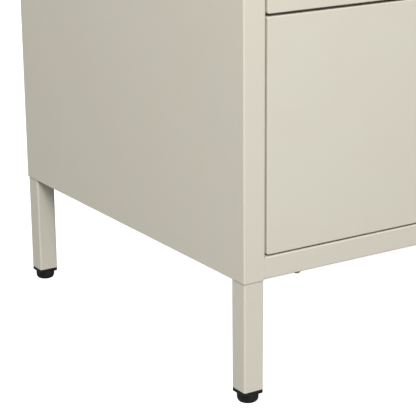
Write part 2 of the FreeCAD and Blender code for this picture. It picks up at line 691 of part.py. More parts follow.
# ---- the cabinet ----------------------------------------------------------------------------
def main():
    side = side_panel()
    write("side_panel_left", side)
    right = mirrored(side)
    for z in rivet_heights():
        right = right.cut(rod(2.5, (WIDTH / 2 - POST - 1, depth(23), z),
                              (WIDTH / 2 - POST + 2, depth(23), z)))
    write("side_panel_right", right)
    write("bottom_rail", bottom_rail())
    write("top_rail", top_rail())
    write("top_panel", top_panel())
    write("back_panel", back_panel())
    write("floor_pan", floor_pan())

    for name, x, y in leg_centres():
        write("leg_" + name, leg(x, y))
        write("leg_cap_" + name, leg_cap(x, y))
        write("glide_" + name, glide(x, y))
    write("leg_bolts", *leg_bolts())
    write("floor_screws", *floor_screws())
    write("back_screws", *back_screws())

    support = runner_support()
    for drawer in DRAWERS:
        z = front_bottom(drawer) + RUNNER_UP - SUPPORT_HEIGHT / 2
        write("runner_support_" + drawer + "_left", upright(support, z))
        write("runner_support_" + drawer + "_right", mirrored(upright(support, z)))
        for member, shape in runner(drawer).items():
            write(member + "_" + drawer + "_left", shape)
            write(member + "_" + drawer + "_right", mirrored(shape))
        write("front_skin_" + drawer, front_skin(drawer))
        write("front_liner_" + drawer, front_liner(drawer))
        write("tray_" + drawer, tray(drawer))
        write("tray_floor_" + drawer, tray_floor(drawer))
        write("handle_" + drawer, handle(drawer))
        write("handle_screws_" + drawer, *handle_screws(drawer))
        write("file_rails_" + drawer, *file_rails(drawer))
        write("lock_stud_" + drawer, lock_stud(drawer))

    write("lock_barrel", lock_barrel())
    write("lock_plug", lock_plug())
    write("lock_cam", lock_cam())
    write("lock_screw", lock_screw())
    write("lock_bar", lock_bar())
    write("lock_rivets", *lock_rivets())


main()
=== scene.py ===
"""Finishes, seams, feet, runner balls and studio for a cream lateral filing cabinet.

The packed cabinet is loaded as a fixed frame. Everything here is in metres in the cabinet's frame:
+X to the right seen from the front, +Y to the back, +Z up, and the floor at z = 0.
"""
import json
import math

import bmesh
import bpy
from mathutils import Matrix, Vector


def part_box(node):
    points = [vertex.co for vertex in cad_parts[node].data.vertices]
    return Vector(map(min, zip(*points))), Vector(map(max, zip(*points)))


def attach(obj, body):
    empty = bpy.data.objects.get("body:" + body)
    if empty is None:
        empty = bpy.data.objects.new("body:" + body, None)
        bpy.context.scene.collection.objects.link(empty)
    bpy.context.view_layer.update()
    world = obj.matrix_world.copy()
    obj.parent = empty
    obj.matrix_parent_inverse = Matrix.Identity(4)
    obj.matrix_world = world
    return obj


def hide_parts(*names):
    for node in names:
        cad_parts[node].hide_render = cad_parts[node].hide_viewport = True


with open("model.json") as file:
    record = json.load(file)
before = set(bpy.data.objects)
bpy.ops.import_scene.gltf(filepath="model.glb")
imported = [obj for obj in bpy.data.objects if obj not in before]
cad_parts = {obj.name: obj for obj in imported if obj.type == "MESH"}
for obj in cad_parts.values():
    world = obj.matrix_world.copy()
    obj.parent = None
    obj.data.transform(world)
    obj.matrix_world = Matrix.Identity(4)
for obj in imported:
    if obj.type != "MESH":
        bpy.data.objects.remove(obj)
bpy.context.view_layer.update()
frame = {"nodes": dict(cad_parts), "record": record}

bl_info = {
    "name": "Filing Cabinet Finisher",
    "version": (1, 0, 0),
    "blender": (4, 5, 0),
    "location": "View3D > Sidebar > Cabinet",
    "description": "Coats, plates and details a sheet-steel filing cabinet, and lights it in a plain studio",
    "category": "Object",
}

MM = 0.001
TINY = 0.001 * MM              # two places closer than this are the same
LEGS = ("front_left", "front_right", "rear_left", "rear_right")
RUNNERS = tuple(f"{drawer}_{side}" for drawer in ("lower", "upper") for side in ("left", "right"))

# Leg cap. The plug and its ribs are given by how much narrower than the cap they are.
CAP_LIP = 0.25 * MM
PLUG_LESS = 4.8 * MM
RIB_LESS = 3.3 * MM
RIB_HEIGHT = 1.6 * MM
RIB_LEVELS = (3 * MM, 8 * MM, 13 * MM)
PLUG_CHAMFER = (0.7 * MM, 0.8 * MM)
STEM_BORE = 4.15 * MM          # radius
BORE_PAST_STEM = 0.6 * MM

# Foot, with radii.
RIM_ROUND = 0.4 * MM
RIM_ROUND_MIDDLE = 0.12 * MM
STEM = 4.0 * MM
STEM_CHAMFER = 0.9 * MM
GROOVE = 3.6 * MM
GROOVE_LEVELS = (5 * MM, 8 * MM, 11 * MM)
GROOVE_SLOPE = 0.4 * MM
GROOVE_FLAT = 0.6 * MM
SOLE_RING = 1.6 * MM
SOLE_HOLLOW = 0.5 * MM         # depth of the sole's hollow, and width of the slope down to it

# Seam filler.
SEAM_SHORTER = 2.4 * MM        # than the rail is high
SEAM_DEPTH = 0.3 * MM
SEAM_TAPER = 0.45              # share of its width that it loses towards the back

# Runner cages.
RUNNER_STEEL = 1.2 * MM
WINDOW_PLAY = 0.3 * MM
WINDOW_EDGE = 0.02 * MM
CAGE_BEVEL = 0.08 * MM
CAGE_TO_WEB = 0.8 * MM         # middle of the inner cage's strip to the web beside it
CAGE_TO_LIP = 0.6 * MM         # end of a cage's flange to the open side of the channel

# Plating: slot, material, its two colours, roughness, stretch of the streaks, size of the patches.
ALONG_DEPTH = (1.0, 0.03, 1.0)
NO_STRETCH = (1.0, 1.0, 1.0)
PLATINGS = (
    ("zinc_steel", "bright_zinc", (0.74, 0.75, 0.77), (0.66, 0.68, 0.72), 0.32, ALONG_DEPTH,
     12 * MM),
    ("screw_steel", "screw_zinc", (0.56, 0.56, 0.55), (0.47, 0.47, 0.46), 0.34, NO_STRETCH,
     3 * MM),
    ("bronze_screw", "bronze_plate", (0.62, 0.47, 0.32), (0.52, 0.38, 0.24), 0.38, NO_STRETCH,
     3 * MM),
)

# Studio: name of each soft light, its place, width and height, colour, and setting of its power.
LIT_POINT = Vector((0, 0, 0.36))
SOFTBOXES = (
    ("key_softbox", (-1.6, -2.0, 2.3), (1.3, 1.3), (1.0, 0.985, 0.955), "key_power"),
    ("front_softbox", (0.3, -3.2, 0.62), (3.0, 1.2), (0.88, 0.93, 1.0), "front_power"),
    ("side_softbox", (-2.8, 0.4, 2.0), (2.0, 1.6), (0.92, 0.95, 1.0), "side_power"),
    ("back_softbox", (2.6, 2.2, 1.9), (2.0, 1.6), (1.0, 0.99, 0.98), "back_power"),
)
ROOM_LIGHT = (1.0, 0.985, 0.95)
FLOOR_SHADE = 0.6
FLOOR_GLOW = 0.93
FLOOR_SIZE = 40


# ---- settings ---------------------------------------------------------------------------------
class PaintSettings(bpy.types.PropertyGroup):
    """The cream powder coat."""
    colour: bpy.props.FloatVectorProperty(
        name="Coat colour", description="Colour of the powder coat", subtype="COLOR", size=3,
        min=0, max=1, default=(0.676, 0.649, 0.562))
    warm_colour: bpy.props.FloatVectorProperty(
        name="Warm patches", description="Slightly warmer shade that the coat drifts towards",
        subtype="COLOR", size=3, min=0, max=1, default=(0.679, 0.641, 0.542))
    roughness: bpy.props.FloatProperty(
        name="Roughness", description="Gloss of the coat, from mirror to chalk", min=0, max=1,
        default=0.43)
    peel_size: bpy.props.FloatProperty(
        name="Orange peel", description="Distance between the waves in the coat", unit="LENGTH",
        min=0.0002, max=0.02, default=1.6 * MM)
    peel_height: bpy.props.FloatProperty(
        name="Peel height", description="Height of the waves in the coat", unit="LENGTH",
        min=0, max=0.0005, default=0.016 * MM)


class FootSettings(bpy.types.PropertyGroup):
    """The moulded end caps and round feet."""
    colour: bpy.props.FloatVectorProperty(
        name="Plastic colour", description="Colour of the moulded feet", subtype="COLOR", size=3,
        min=0, max=1, default=(0.0125, 0.0135, 0.014))
    sole_radius: bpy.props.FloatProperty(
        name="Sole radius", description="Flat part that stands on the floor", unit="LENGTH",
        min=0.002, max=0.012, default=7.7 * MM)
    bow_height: bpy.props.FloatProperty(
        name="Bow height", description="Height of the rounded lower edge", unit="LENGTH",
        min=0.001, max=0.01, default=5.3 * MM)
    taper: bpy.props.FloatProperty(
        name="Taper", description="Narrowing of the foot's side from its rim to the rounding",
        unit="LENGTH", min=0, max=0.002, default=0.25 * MM)
    cap_round: bpy.props.FloatProperty(
        name="Cap rounding", description="Rounding of the cap's lower edge", unit="LENGTH",
        min=0.0001, max=0.003, default=0.5 * MM)
    corner: bpy.props.FloatProperty(
        name="Cap corner", description="Corner radius of the cap, which is the tube's",
        unit="LENGTH", min=0.0005, max=0.006, default=2.2 * MM)


class RunnerSettings(bpy.types.PropertyGroup):
    """The balls and their cages in the drawer runners."""
    ball: bpy.props.FloatProperty(
        name="Ball", description="Diameter of a ball", unit="LENGTH", min=0.0005, max=0.006,
        default=2.7 * MM)
    pitch: bpy.props.FloatProperty(
        name="Pitch", description="Distance between two balls of a row", unit="LENGTH",
        min=0.006, max=0.03, default=8.6 * MM)
    balls: bpy.props.IntProperty(
        name="Balls", description="Balls in one row", min=2, max=60, default=24)
    strip: bpy.props.FloatProperty(
        name="Strip", description="Thickness of the cage's strip", unit="LENGTH", min=0.0002,
        max=0.002, default=0.45 * MM)
    start: bpy.props.FloatProperty(
        name="Start", description="Distance of the cages from the front end of the runner",
        unit="LENGTH", min=0, max=0.1, default=8 * MM)


class SeamSettings(bpy.types.PropertyGroup):
    """The filled seams between the rails and the stiles."""
    width: bpy.props.FloatProperty(
        name="Width", description="Width of the filler at the front", unit="LENGTH",
        min=0.0001, max=0.003, default=1.35 * MM)
    sunk: bpy.props.FloatProperty(
        name="Sunk", description="How far the filler lies behind the rail's face",
        unit="LENGTH", min=0, max=0.001, default=0.1 * MM)
    clearance: bpy.props.FloatProperty(
        name="Clearance", description="Gap between the filler and the rail's end",
        unit="LENGTH", min=0, max=0.0005, default=0.02 * MM)


class StudioSettings(bpy.types.PropertyGroup):
    """Camera and lights."""
    camera_place: bpy.props.FloatVectorProperty(
        name="Camera", description="Place of the camera", subtype="TRANSLATION", size=3,
        default=(-1.31045, -1.53558, 0.69722))
    yaw: bpy.props.FloatProperty(
        name="Yaw", description="Turn of the camera to the right of straight back",
        subtype="ANGLE", default=math.radians(32.36))
    pitch: bpy.props.FloatProperty(
        name="Pitch", description="Downward tilt of the camera", subtype="ANGLE",
        default=math.radians(16.89))
    roll: bpy.props.FloatProperty(
        name="Roll", description="Clockwise roll of the camera", subtype="ANGLE",
        default=math.radians(0.5))
    lens: bpy.props.FloatProperty(
        name="Lens", description="Focal length in millimetres on a 36 mm sensor", min=10,
        max=500, default=133.8)
    key_power: bpy.props.FloatProperty(
        name="Key light", description="Power of the high soft light at the front left in watts",
        min=0, max=2000, default=79)
    front_power: bpy.props.FloatProperty(
        name="Front light", description="Power of the low wide light in front in watts",
        min=0, max=2000, default=20)
    side_power: bpy.props.FloatProperty(
        name="Side light", description="Power of the high soft light at the left in watts",
        min=0, max=2000, default=20)
    back_power: bpy.props.FloatProperty(
        name="Back light", description="Power of the soft light behind on the right in watts",
        min=0, max=2000, default=40)
    sky: bpy.props.FloatProperty(
        name="Room light", description="Strength of the even light of the white room", min=0,
        max=4, default=0.365)
    bounce: bpy.props.FloatProperty(
        name="Floor bounce", description="Share of the light that the floor sends back up",
        min=0, max=1, default=0.25)


# ---- modelling helpers --------------------------------------------------------------------------
def clear_selection():
    """Nothing stays selected or active, the frame's nodes included."""
    bpy.ops.object.select_all(action="DESELECT")
    bpy.context.view_layer.objects.active = None


def named(name):
    """Names the new object and its mesh."""
    piece = bpy.context.active_object
    piece.name = name
    piece.data.name = name
    return piece


def only(piece):
    """Selects this piece and nothing else, and makes it active."""
    clear_selection()
    piece.select_set(True)
    bpy.context.view_layer.objects.active = piece


def pick_faces(piece, test):
    """In edit mode, selects the faces whose middle and normal pass the test."""
    bpy.ops.mesh.select_mode(type="FACE")
    bpy.ops.mesh.select_all(action="DESELECT")
    mesh = bmesh.from_edit_mesh(piece.data)
    chosen = [face for face in mesh.faces if test(face.calc_center_median(), face.normal)]
    for face in chosen:
        face.select_set(True)
    bmesh.update_edit_mesh(piece.data)
    if not chosen:
        raise RuntimeError(f"{piece.name}: no face to work on")


def pick_edges(piece, test):
    """In edit mode, selects the edges whose two ends pass the test."""
    bpy.ops.mesh.select_mode(type="EDGE")
    bpy.ops.mesh.select_all(action="DESELECT")
    mesh = bmesh.from_edit_mesh(piece.data)
    chosen = [edge for edge in mesh.edges if test(*(vertex.co for vertex in edge.verts))]
    for edge in chosen:
        edge.select_set(True)
    bmesh.update_edit_mesh(piece.data)
    if not chosen:
        raise RuntimeError(f"{piece.name}: no edge to work on")


def apply_modifier(piece, kind, **values):
    """Adds a modifier with these values and applies it."""
    modifier = piece.modifiers.new(kind.title(), kind)
    for name, value in values.items():
        setattr(modifier, name, value)
    only(piece)
    bpy.ops.object.modifier_apply(modifier=modifier.name)


def raise_rings(centre, rings):
    """In edit mode, grows the selected flat end upwards through (width, height) rings.

    The first ring is the end as it is. A ring at the same height only widens or narrows.
    """
    for (width, height), (next_width, next_height) in zip(rings, rings[1:]):
        bpy.ops.mesh.extrude_region_move(
            TRANSFORM_OT_translate={"value": (0, 0, next_height - height)})
        ratio = next_width / width
        if not math.isclose(ratio, 1, abs_tol=1e-6):
            bpy.ops.transform.resize(
                value=(ratio, ratio, 1), center_override=(centre[0], centre[1], next_height))


def rounded_edge(width, height, reach, rise, steps):
    """Rings of a quarter-ellipse edge that swells from a flat end up to a straight side."""
    rings = []
    for step in range(steps + 1):
        angle = step / steps * math.pi / 2
        rings.append((width + reach * math.sin(angle), height + rise * (1 - math.cos(angle))))
    return rings


def settle(piece, angle=30):
    """Merges doubles, turns every face outwards, shades it and leaves the object at the origin."""
    only(piece)
    bpy.ops.object.transform_apply(location=True, rotation=True, scale=True)
    bpy.ops.object.mode_set(mode="EDIT")
    bpy.ops.mesh.select_all(action="SELECT")
    bpy.ops.mesh.remove_doubles(threshold=0.002 * MM)
    bpy.ops.mesh.normals_make_consistent(inside=False)
    bpy.ops.object.mode_set(mode="OBJECT")
    bpy.ops.object.shade_smooth_by_angle(angle=math.radians(angle))


def copy_to(piece, name, move=(0, 0, 0), mirror=False, angle=30):
    """A copy with its own mesh, mirrored across the plane x = 0 if wanted, and then moved."""
    only(piece)
    bpy.ops.object.duplicate(linked=False)
    copied = named(name)
    if mirror:
        copied.scale.x = -1
    copied.location = move
    settle(copied, angle)
    return copied


def coat(piece, material):
    """Gives a piece one material."""
    piece.data.materials.clear()
    piece.data.materials.append(material)


def middle_of(node):
    """Middle of a frame node's box."""
    low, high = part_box(node)
    return (low + high) / 2


# ---- shader helpers -----------------------------------------------------------------------------
def add_node(tree, kind, **values):
    """Adds a shader node and sets its properties."""
    made = tree.nodes.new(kind)
    for name, value in values.items():
        setattr(made, name, value)
    return made


def feed(tree, socket, value):
    """Links the value to the socket if it is a socket too, and otherwise sets it there."""
    if isinstance(value, bpy.types.NodeSocket):
        tree.links.new(value, socket)
    else:
        socket.default_value = value


def new_group(name, inputs, outputs):
    """A node group with these sockets, and its input and output nodes."""
    tree = bpy.data.node_groups.new(name, "ShaderNodeTree")
    for label, kind, value in inputs:
        socket = tree.interface.new_socket(name=label, in_out="INPUT", socket_type=kind)
        if value is not None:
            socket.default_value = value
    for label, kind in outputs:
        tree.interface.new_socket(name=label, in_out="OUTPUT", socket_type=kind)
    return tree, add_node(tree, "NodeGroupInput"), add_node(tree, "NodeGroupOutput")


def place_group(tree, group, coordinates, **values):
    """Puts a group in a material and sets its inputs by name, with _ for a space."""
    made = add_node(tree, "ShaderNodeGroup", node_tree=group)
    tree.links.new(coordinates, made.inputs["Coordinates"])
    for name, value in values.items():
        made.inputs[name.replace("_", " ")].default_value = value
    return made


def arithmetic(tree, operation, first, second=0.0):
    """Result of a Math node on one or two numbers or sockets."""
    made = add_node(tree, "ShaderNodeMath", operation=operation)
    feed(tree, made.inputs[0], first)
    feed(tree, made.inputs[1], second)
    return made.outputs[0]


def noise(tree, coordinates, size, detail=2.0, roughness=0.5):
    """Noise whose waves are about size metres apart. size is a socket or a number."""
    made = add_node(tree, "ShaderNodeTexNoise")
    made.inputs["Detail"].default_value = detail
    made.inputs["Roughness"].default_value = roughness
    tree.links.new(coordinates, made.inputs["Vector"])
    tree.links.new(arithmetic(tree, "DIVIDE", 1.0, size), made.inputs["Scale"])
    return made.outputs["Fac"]


def remap(tree, value, low, high, to_low, to_high):
    """Value between low and high, spread smoothly over to_low and to_high."""
    made = add_node(tree, "ShaderNodeMapRange", interpolation_type="SMOOTHSTEP")
    tree.links.new(value, made.inputs["Value"])
    for name, number in (("From Min", low), ("From Max", high), ("To Min", to_low),
                         ("To Max", to_high)):
        feed(tree, made.inputs[name], number)
    return made.outputs["Result"]


def mix_colours(tree, factor, first, second):
    """Colour that goes from the first to the second as the factor goes from 0 to 1."""
    made = add_node(tree, "ShaderNodeMix", data_type="RGBA")
    first_colour, second_colour = made.inputs[6], made.inputs[7]
    for socket, value in ((made.inputs["Factor"], factor), (first_colour, first),
                          (second_colour, second)):
        feed(tree, socket, value)
    return made.outputs[2]


def patches_group():
    """Two colours that drift into each other in soft patches."""
    tree, given, made = new_group(
        "soft_patches",
        [("Coordinates", "NodeSocketVector", None),
         ("Colour", "NodeSocketColor", (0.5, 0.5, 0.5, 1)),
         ("Other Colour", "NodeSocketColor", (0.5, 0.5, 0.5, 1)),
         ("Patch Size", "NodeSocketFloat", 0.06),
         ("Strength", "NodeSocketFloat", 0.5)],
        [("Colour", "NodeSocketColor"), ("Mask", "NodeSocketFloat")])
    cloud = noise(tree, given.outputs["Coordinates"], given.outputs["Patch Size"], 3.0, 0.55)
    spread = remap(tree, cloud, 0.35, 0.65, 0.0, 1.0)
    share = arithmetic(tree, "MULTIPLY", spread, given.outputs["Strength"])
    colour = mix_colours(tree, share, given.outputs["Colour"], given.outputs["Other Colour"])
    tree.links.new(colour, made.inputs["Colour"])
    tree.links.new(share, made.inputs["Mask"])
    return tree


def texture_group():
    """Height of a surface with long waves and a finer grain on them, from 0 to 1."""
    tree, given, made = new_group(
        "waves_and_grain",
        [("Coordinates", "NodeSocketVector", None),
         ("Wave Size", "NodeSocketFloat", 0.0016),
         ("Grain Size", "NodeSocketFloat", 0.0004),
         ("Grain Share", "NodeSocketFloat", 0.3)],
        [("Height", "NodeSocketFloat")])
    waves = noise(tree, given.outputs["Coordinates"], given.outputs["Wave Size"], 1.0)
    grain = noise(tree, given.outputs["Coordinates"], given.outputs["Grain Size"], 1.0)
    wave_share = arithmetic(tree, "SUBTRACT", 1.0, given.outputs["Grain Share"])
    height = arithmetic(tree, "ADD", arithmetic(tree, "MULTIPLY", waves, wave_share),
                        arithmetic(tree, "MULTIPLY", grain, given.outputs["Grain Share"]))
    tree.links.new(height, made.inputs["Height"])
    return tree


def streaks_group():
    """Fine streaks along one direction, as rolling or drawing leaves on steel, from 0 to 1."""
    tree, given, made = new_group(
        "drawn_streaks",
        [("Coordinates", "NodeSocketVector", None),
         ("Stretch", "NodeSocketVector", (1.0, 0.02, 1.0)),
         ("Streak Width", "NodeSocketFloat", 0.0006)],
        [("Value", "NodeSocketFloat")])
    squeezed = add_node(tree, "ShaderNodeVectorMath", operation="MULTIPLY")
    tree.links.new(given.outputs["Coordinates"], squeezed.inputs[0])
    tree.links.new(given.outputs["Stretch"], squeezed.inputs[1])
    lines = noise(tree, squeezed.outputs["Vector"], given.outputs["Streak Width"], 3.0, 0.6)
    tree.links.new(remap(tree, lines, 0.25, 0.75, 0.0, 1.0), made.inputs["Value"])
    return tree


def scuffs_group():
    """Mask of light scuffs near the floor, fading out with height."""
    tree, given, made = new_group(
        "floor_scuffs",
        [("Coordinates", "NodeSocketVector", None),
         ("Height", "NodeSocketFloat", 0.004),
         ("Scuff Size", "NodeSocketFloat", 0.0012)],
        [("Mask", "NodeSocketFloat")])
    parts = add_node(tree, "ShaderNodeSeparateXYZ")
    tree.links.new(given.outputs["Coordinates"], parts.inputs["Vector"])
    low = remap(tree, parts.outputs["Z"], 0.0, given.outputs["Height"], 1.0, 0.0)
    spots = noise(tree, given.outputs["Coordinates"], given.outputs["Scuff Size"], 4.0, 0.65)
    marks = remap(tree, spots, 0.48, 0.62, 0.0, 1.0)
    tree.links.new(arithmetic(tree, "MULTIPLY", low, marks), made.inputs["Mask"])
    return tree


def shared(name):
    """The shared node group of this name, built the first time that it is needed."""
    builders = {"soft_patches": patches_group, "waves_and_grain": texture_group,
                "drawn_streaks": streaks_group, "floor_scuffs": scuffs_group}
    return bpy.data.node_groups.get(name) or builders[name]()


def new_material(name):
    """A material with its shader node and the piece's own coordinates."""
    material = bpy.data.materials.new(name)
    material.use_nodes = True
    tree = material.node_tree
    shader = tree.nodes["Principled BSDF"]
    place = add_node(tree, "ShaderNodeTexCoord")
    return material, tree, shader, place.outputs["Object"]


def bumpy(tree, shader, height, distance):
    """Raises the shader's surface by up to this distance where the height is 1."""
    bump = add_node(tree, "ShaderNodeBump")
    bump.inputs["Distance"].default_value = distance
    bump.inputs["Strength"].default_value = 1.0
    tree.links.new(height, bump.inputs["Height"])
    tree.links.new(bump.outputs["Normal"], shader.inputs["Normal"])


def opaque(colour):
    """The colour with its alpha."""
    return (*colour, 1.0)


def mixed_by_ray(tree, lit, seen, output):
    """Shows the camera the second shader, and lights everything else with the first."""
    path = add_node(tree, "ShaderNodeLightPath")
    choice = add_node(tree, "ShaderNodeMixShader")
    tree.links.new(path.outputs["Is Camera Ray"], choice.inputs[0])
    tree.links.new(lit.outputs[0], choice.inputs[1])
    tree.links.new(seen.outputs[0], choice.inputs[2])
    tree.links.new(choice.outputs[0], output.inputs["Surface"])


# ---- materials ----------------------------------------------------------------------------------
def cream_coat(settings):
    """Satin powder coat: soft drift of the shade, orange peel and a fine grain."""
    material, tree, shader, place = new_material("cream_powder_coat")
    patches = place_group(
        tree, shared("soft_patches"), place, Colour=opaque(settings.colour),
        Other_Colour=opaque(settings.warm_colour), Patch_Size=0.09, Strength=0.8)
    surface = place_group(
        tree, shared("waves_and_grain"), place, Wave_Size=settings.peel_size,
        Grain_Size=settings.peel_size / 5, Grain_Share=0.35)
    gloss = noise(tree, place, 0.02, 3.0, 0.6)
    tree.links.new(patches.outputs["Colour"], shader.inputs["Base Color"])
    low, high = settings.roughness - 0.03, settings.roughness + 0.03
    tree.links.new(remap(tree, gloss, 0.3, 0.7, low, high), shader.inputs["Roughness"])
    bumpy(tree, shader, surface.outputs["Height"], settings.peel_height)
    return material


def black_moulding(settings):
    """Moulded plastic with a sparked grain, scuffed and greyed where it meets the floor."""
    material, tree, shader, place = new_material("black_moulded_plastic")
    scuffs = place_group(tree, shared("floor_scuffs"), place, Height=0.0035, Scuff_Size=0.0011)
    surface = place_group(
        tree, shared("waves_and_grain"), place, Wave_Size=0.0011, Grain_Size=0.00028,
        Grain_Share=0.6)
    grey = (0.07, 0.068, 0.064, 1.0)
    share = arithmetic(tree, "MULTIPLY", scuffs.outputs["Mask"], 0.6)
    tree.links.new(mix_colours(tree, share, opaque(settings.colour), grey),
                   shader.inputs["Base Color"])
    tree.links.new(remap(tree, scuffs.outputs["Mask"], 0.0, 1.0, 0.44, 0.66),
                   shader.inputs["Roughness"])
    shader.inputs["Specular IOR Level"].default_value = 0.3
    bumpy(tree, shader, surface.outputs["Height"], 0.02 * MM)
    return material


def moulded_plastic(settings):
    """The feet's plastic, built the first time that it is needed."""
    return bpy.data.materials.get("black_moulded_plastic") or black_moulding(settings)


def plated_steel(name, colour, other, roughness, stretch, patch):
    """Plated steel with soft spangle and drawn streaks that change its gloss."""
    material, tree, shader, place = new_material(name)
    patches = place_group(
        tree, shared("soft_patches"), place, Colour=opaque(colour), Other_Colour=opaque(other),
        Patch_Size=patch, Strength=0.9)
    streaks = place_group(
        tree, shared("drawn_streaks"), place, Stretch=stretch, Streak_Width=0.0007)
    shader.inputs["Metallic"].default_value = 1.0
    tree.links.new(patches.outputs["Colour"], shader.inputs["Base Color"])
    gloss = remap(tree, streaks.outputs["Value"], 0.0, 1.0, roughness - 0.03, roughness + 0.04)
    tree.links.new(gloss, shader.inputs["Roughness"])
    bumpy(tree, shader, streaks.outputs["Value"], 0.0007 * MM)
    return material


def turned_face(name, colour, roughness, middle, ring):
    """Plated face with the fine rings of a lathe about the lock's axis, ring metres apart."""
    material, tree, shader, place = new_material(name)
    centred = add_node(tree, "ShaderNodeMapping", vector_type="POINT")
    centred.inputs["Location"].default_value = -middle
    tree.links.new(place, centred.inputs["Vector"])
    parts = add_node(tree, "ShaderNodeSeparateXYZ")
    tree.links.new(centred.outputs["Vector"], parts.inputs["Vector"])
    across = arithmetic(tree, "MULTIPLY", parts.outputs["X"], parts.outputs["X"])
    up = arithmetic(tree, "MULTIPLY", parts.outputs["Z"], parts.outputs["Z"])
    radius = arithmetic(tree, "POWER", arithmetic(tree, "ADD", across, up), 0.5)
    turns = arithmetic(tree, "SINE", arithmetic(tree, "MULTIPLY", radius, math.tau / ring))
    patches = place_group(
        tree, shared("soft_patches"), place, Colour=opaque(colour),
        Other_Colour=opaque([0.88 * value for value in colour]), Patch_Size=0.004, Strength=0.7)
    shader.inputs["Metallic"].default_value = 1.0
    tree.links.new(patches.outputs["Colour"], shader.inputs["Base Color"])
    gloss = remap(tree, patches.outputs["Mask"], 0.0, 0.7, roughness, roughness + 0.07)
    tree.links.new(gloss, shader.inputs["Roughness"])
    bumpy(tree, shader, turns, 0.004 * MM)
    return material


def coat_nodes(slot, material):
    """Gives every frame node whose record slot is this one the material."""
    wanted = [part["node"] for part in frame["record"]["subparts"]
              if part["material_slot"] == slot]
    if not wanted:
        raise RuntimeError(f"no node has the slot {slot}")
    for node in wanted:
        for holder in frame["nodes"][node].material_slots:
            holder.material = material


# ---- operators ------------------------------------------------------------------------------------
class CABINET_OT_powder_coat(bpy.types.Operator):
    """Coats every painted sheet and tube"""
    bl_idname = "cabinet.powder_coat"
    bl_label = "Powder Coat"

    def execute(self, context):
        coat_nodes("cream_paint", cream_coat(context.scene.cabinet_paint))
        return {"FINISHED"}


class CABINET_OT_plating(bpy.types.Operator):
    """Plates the runners, lock linkage, file rails and screws"""
    bl_idname = "cabinet.plating"
    bl_label = "Plate Steel Parts"

    def execute(self, context):
        for slot, *finish in PLATINGS:
            coat_nodes(slot, plated_steel(*finish))
        return {"FINISHED"}


class CABINET_OT_lock_finish(bpy.types.Operator):
    """Finishes the lock's barrel and the face of its plug"""
    bl_idname = "cabinet.lock_finish"
    bl_label = "Finish Lock"

    def execute(self, context):
        middle = middle_of("lock_plug")
        coat_nodes("lock_chrome", turned_face(
            "chromed_barrel", (0.72, 0.73, 0.75), 0.09, middle, 1.4 * MM))
        coat_nodes("lock_nickel", turned_face(
            "nickel_plug", (0.60, 0.57, 0.52), 0.24, middle, 0.35 * MM))
        return {"FINISHED"}


def make_cap(node, settings):
    """End cap: a rounded rim under the tube, and a ribbed plug up inside it, bored for the stem."""
    low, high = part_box(node)
    middle = (low + high) / 2
    width = high.x - low.x
    rim_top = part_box(node.replace("leg_cap", "leg"))[0].z
    base = width - 2 * settings.cap_round
    clear_selection()
    bpy.ops.mesh.primitive_plane_add(size=base, location=(middle.x, middle.y, low.z))
    cap = named("cap_" + node.removeprefix("leg_cap_"))
    bpy.ops.object.transform_apply(location=True, rotation=True, scale=True)
    bpy.ops.object.mode_set(mode="EDIT")
    bpy.ops.mesh.select_all(action="SELECT")
    bpy.ops.mesh.bevel(offset=settings.corner * base / width, offset_type="OFFSET", segments=6,
                       affect="VERTICES")
    rings = rounded_edge(base, low.z, 2 * settings.cap_round, settings.cap_round, 4)
    plug, rib = width - PLUG_LESS, width - RIB_LESS
    rings += [(width, rim_top - CAP_LIP), (width - 2 * CAP_LIP, rim_top), (plug, rim_top)]
    for level in RIB_LEVELS:
        start = rim_top + level
        end = start + RIB_HEIGHT
        rings += [(plug, start), (rib, start), (rib, end), (plug, end)]
    chamfer, chamfer_height = PLUG_CHAMFER
    rings += [(plug, high.z - chamfer_height), (plug - 2 * chamfer, high.z)]
    pick_faces(cap, lambda centre, normal: True)
    raise_rings(middle, rings)
    bpy.ops.object.mode_set(mode="OBJECT")
    bore_for_stem(cap, node)
    settle(cap)
    return cap


def bore_for_stem(cap, node):
    """Cuts the blind hole that the foot's stem is pressed into."""
    stem_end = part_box(node.replace("leg_cap", "glide"))[1].z
    middle = middle_of(node.replace("leg_cap", "glide"))
    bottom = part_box(node)[0].z
    clear_selection()
    bpy.ops.mesh.primitive_cylinder_add(
        vertices=32, radius=STEM_BORE, depth=2 * (stem_end + BORE_PAST_STEM - bottom),
        location=(middle.x, middle.y, bottom))
    drill = named("stem_drill")
    apply_modifier(cap, "BOOLEAN", operation="DIFFERENCE", object=drill, solver="EXACT")
    bpy.data.objects.remove(drill)


class CABINET_OT_leg_caps(bpy.types.Operator):
    """Moulds the four end caps of the leg tubes"""
    bl_idname = "cabinet.leg_caps"
    bl_label = "Mould Leg Caps"

    def execute(self, context):
        plastic = moulded_plastic(context.scene.cabinet_feet)
        for leg in LEGS:
            cap = make_cap("leg_cap_" + leg, context.scene.cabinet_feet)
            coat(cap, plastic)
            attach(cap, "cabinet")
            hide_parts("leg_cap_" + leg)
        return {"FINISHED"}


